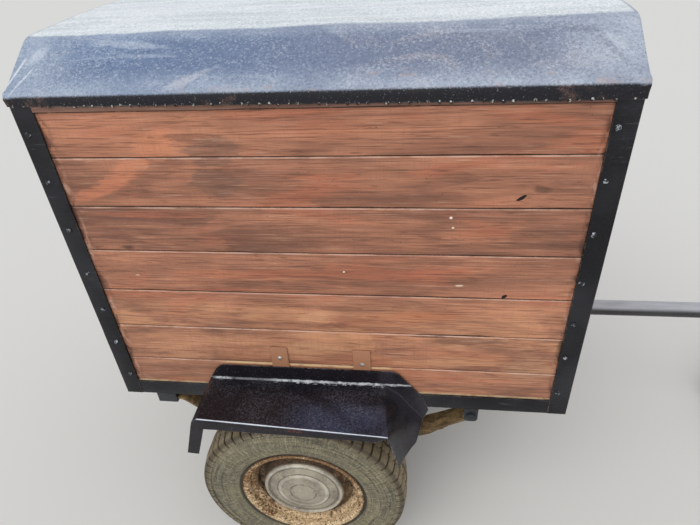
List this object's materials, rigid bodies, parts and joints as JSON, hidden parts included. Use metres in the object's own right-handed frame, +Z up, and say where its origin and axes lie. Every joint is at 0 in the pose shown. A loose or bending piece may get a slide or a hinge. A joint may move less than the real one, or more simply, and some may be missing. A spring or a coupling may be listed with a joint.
{
  "type": "boarded box trailer",
  "caption": "Single-axle towed box trailer with lapped timber walls, covered roof, rear doors, leaf springs, mudguards and a winding front stand.",
  "frame": {"origin": "on the ground, under the middle of the whole trailer's outline", "axes": "+X forwards to the coupling, +Y to the trailer's left, +Z up"},
  "size_m": [2.239, 1.2566, 1.417],
  "materials": {
    "stained_wood": "red-brown stain, worn",
    "bare_wood": "bare timber and plywood",
    "black_paint": "black gloss paint, dusty",
    "mudguard_paint": "black paint worn to metal at the edges",
    "roof_covering": "black bitumen sheet with a soft sheen",
    "spring_steel": "rusty steel",
    "wheel_paint": "cream paint flaking to rust",
    "hubcap_metal": "dull plated sheet",
    "tyre_rubber": "dusty rubber",
    "zinc": "dull zinc plating",
    "stand_rubber": "dusty solid rubber"
  },
  "bodies": {
    "chassis": {"corner_posts": "black_paint", "bottom_rails": "black_paint", "cross_bars": "black_paint", "floor_panel": "bare_wood", "side_boards_right": "stained_wood", "side_boards_left": "stained_wood", "front_boards": "stained_wood", "door_frame": "bare_wood", "roof_cover": "roof_covering", "roof_deck": "bare_wood", "roof_gables": "bare_wood", "eave_strips": "stained_wood", "hinge_leaves": "black_paint", "axle": "black_paint", "leaf_springs": "spring_steel", "spring_plates": "black_paint", "u_bolts": "black_paint", "spring_hangers": "black_paint", "spring_pins": "spring_steel", "fender_right": "mudguard_paint", "fender_left": "mudguard_paint", "fender_tabs": "mudguard_paint", "drawbar": "black_paint", "coupling_head": "black_paint", "coupling_handle": "zinc", "chain_plate": "black_paint", "stand_clamp": "black_paint", "stand_tube": "zinc", "stand_handle": "zinc"},
    "wheel_right": {"tyre_right": "tyre_rubber", "rim_right": "wheel_paint", "hubcap_right": "hubcap_metal", "hub_right": "black_paint"},
    "wheel_left": {"tyre_left": "tyre_rubber", "rim_left": "wheel_paint", "hubcap_left": "hubcap_metal", "hub_left": "black_paint"},
    "door_left": {"door_boards_left": "stained_wood", "door_battens_left": "bare_wood", "door_irons_left": "black_paint"},
    "door_right": {"door_boards_right": "stained_wood", "door_battens_right": "bare_wood", "door_irons_right": "black_paint"},
    "stand_inner_leg": {"stand_leg": "zinc"},
    "stand_caster": {"stand_fork": "zinc"},
    "stand_roller": {"stand_wheel": "stand_rubber"}
  },
  "joints": [
    {"name": "wheel_right_spin", "type": "hinge", "parent": "chassis", "child": "wheel_right", "pos_m": [-0.6015, -0.538, 0.279], "axis": [0, 1, 0], "continuous": true},
    {"name": "wheel_left_spin", "type": "hinge", "parent": "chassis", "child": "wheel_left", "pos_m": [-0.6015, 0.538, 0.279], "axis": [0, 1, 0], "continuous": true},
    {"name": "door_left_hinge", "type": "hinge", "parent": "chassis", "child": "door_left", "pos_m": [-1.1065, 0.4165, 0.915], "axis": [0, 0, -1], "range_deg": [0, 180]},
    {"name": "door_right_hinge", "type": "hinge", "parent": "chassis", "child": "door_right", "pos_m": [-1.1065, -0.4165, 0.915], "axis": [0, 0, 1], "range_deg": [0, 180]},
    {"name": "stand_winding", "type": "slide", "parent": "chassis", "child": "stand_inner_leg", "axis": [0, 0, 1], "range_m": [0, 0.15]},
    {"name": "stand_swivel", "type": "hinge", "parent": "stand_inner_leg", "child": "stand_caster", "pos_m": [0.8755, 0.0603, 0.2], "axis": [0, 0, 1], "continuous": true},
    {"name": "stand_roller_spin", "type": "hinge", "parent": "stand_caster", "child": "stand_roller", "pos_m": [0.8405, 0.0603, 0.1], "axis": [0, 1, 0], "continuous": true}
  ]
}
